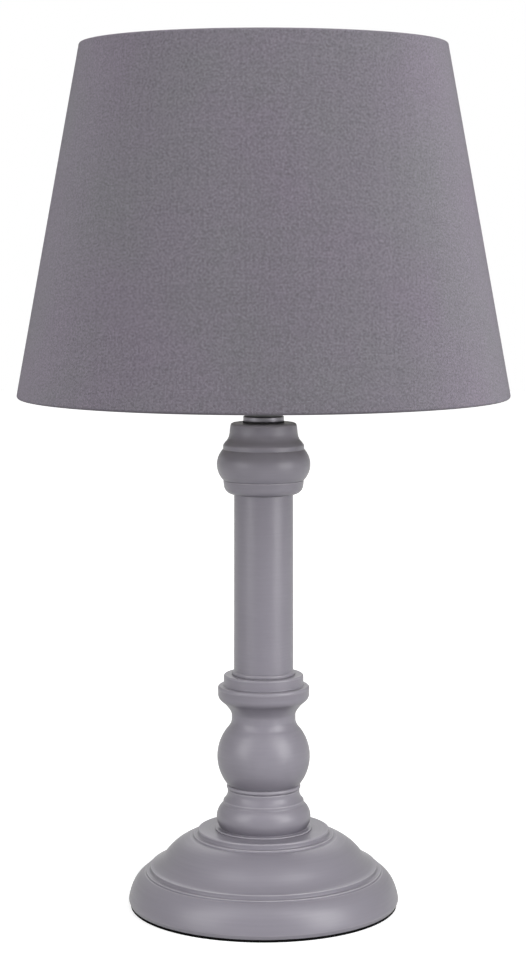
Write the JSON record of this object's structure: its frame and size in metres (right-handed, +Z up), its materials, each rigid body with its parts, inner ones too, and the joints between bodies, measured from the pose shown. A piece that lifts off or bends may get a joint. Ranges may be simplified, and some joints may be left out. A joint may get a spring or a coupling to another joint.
{
  "type": "table lamp",
  "caption": "Table lamp with a turned, painted wooden foot and stem, a tapered fabric drum shade clamped on its lampholder, and a screw-in candle bulb.",
  "frame": {"origin": "centre of the pad's underside, where the lamp stands", "axes": "+Z up along the lamp's axis, +Y to the back, where the cord inlet is, +X to the right as seen from the front"},
  "size_m": [0.25, 0.25, 0.441],
  "materials": {
    "painted_wood": "satin grey paint",
    "pad": "matt",
    "steel": "zinc plated",
    "collar": "satin",
    "black_plastic": "matt",
    "block": "glazed",
    "brass": "bright",
    "cloth": "fine plain weave",
    "liner": "matt",
    "white_wire": "satin",
    "bulb_metal": "nickel plated",
    "bulb_insulator": "gloss",
    "bulb_housing": "satin",
    "bulb_dome": "opal",
    "led_board": "white lacquer",
    "led_chips": "matt",
    "driver_board": "satin"
  },
  "bodies": {
    "stand": {"base_pad": "pad", "foot": "painted_wood", "baluster": "painted_wood", "shaft": "painted_wood", "capital": "painted_wood", "threaded_tube": "steel", "foot_washer": "steel", "foot_nut": "steel", "column_washer": "steel", "column_nut": "steel", "inlet_bush": "black_plastic", "neck_washer": "black_plastic", "neck_collar": "collar", "holder_cap": "black_plastic", "grub_screw": "steel", "terminal_block": "block", "live_terminal": "brass", "neutral_terminal": "brass", "terminal_screws": "steel", "contact_rivets": "brass", "centre_contact": "brass", "screw_shell": "brass", "holder_skirt": "black_plastic"},
    "ring": {"retaining_ring": "black_plastic"},
    "shade": {"shade_cover": "cloth", "shade_liner": "liner", "top_wire": "white_wire", "bottom_wire": "white_wire", "fitter_ring": "white_wire", "spokes": "white_wire"},
    "bulb_tip": {"bulb_tip": "bulb_metal"},
    "bulb": {"bulb_insulator": "bulb_insulator", "bulb_cap": "bulb_metal", "bulb_housing": "bulb_housing", "bulb_dome": "bulb_dome", "led_board": "led_board", "led_chips": "led_chips", "driver_board": "driver_board"}
  },
  "joints": [
    {"name": "shade_lift", "type": "slide", "parent": "stand", "child": "ring", "axis": [0, 0, 1], "range_m": [0, 0.15]},
    {"name": "shade_swivel", "type": "hinge", "parent": "ring", "child": "shade", "pos_m": [0, 0, 0.2785], "axis": [0, 0, 1], "continuous": true},
    {"name": "bulb_rise", "type": "slide", "parent": "stand", "child": "bulb_tip", "axis": [0, 0, 1], "range_m": [0, 0.02177]},
    {"name": "bulb_turn", "type": "hinge", "parent": "bulb_tip", "child": "bulb", "pos_m": [0, 0, 0.28175], "axis": [0, 0, 1], "range_deg": [0, 2160]}
  ],
  "couplings": [
    {"joint": "bulb_rise", "follows": "bulb_turn", "m_per_rad": 0.00057757}
  ]
}
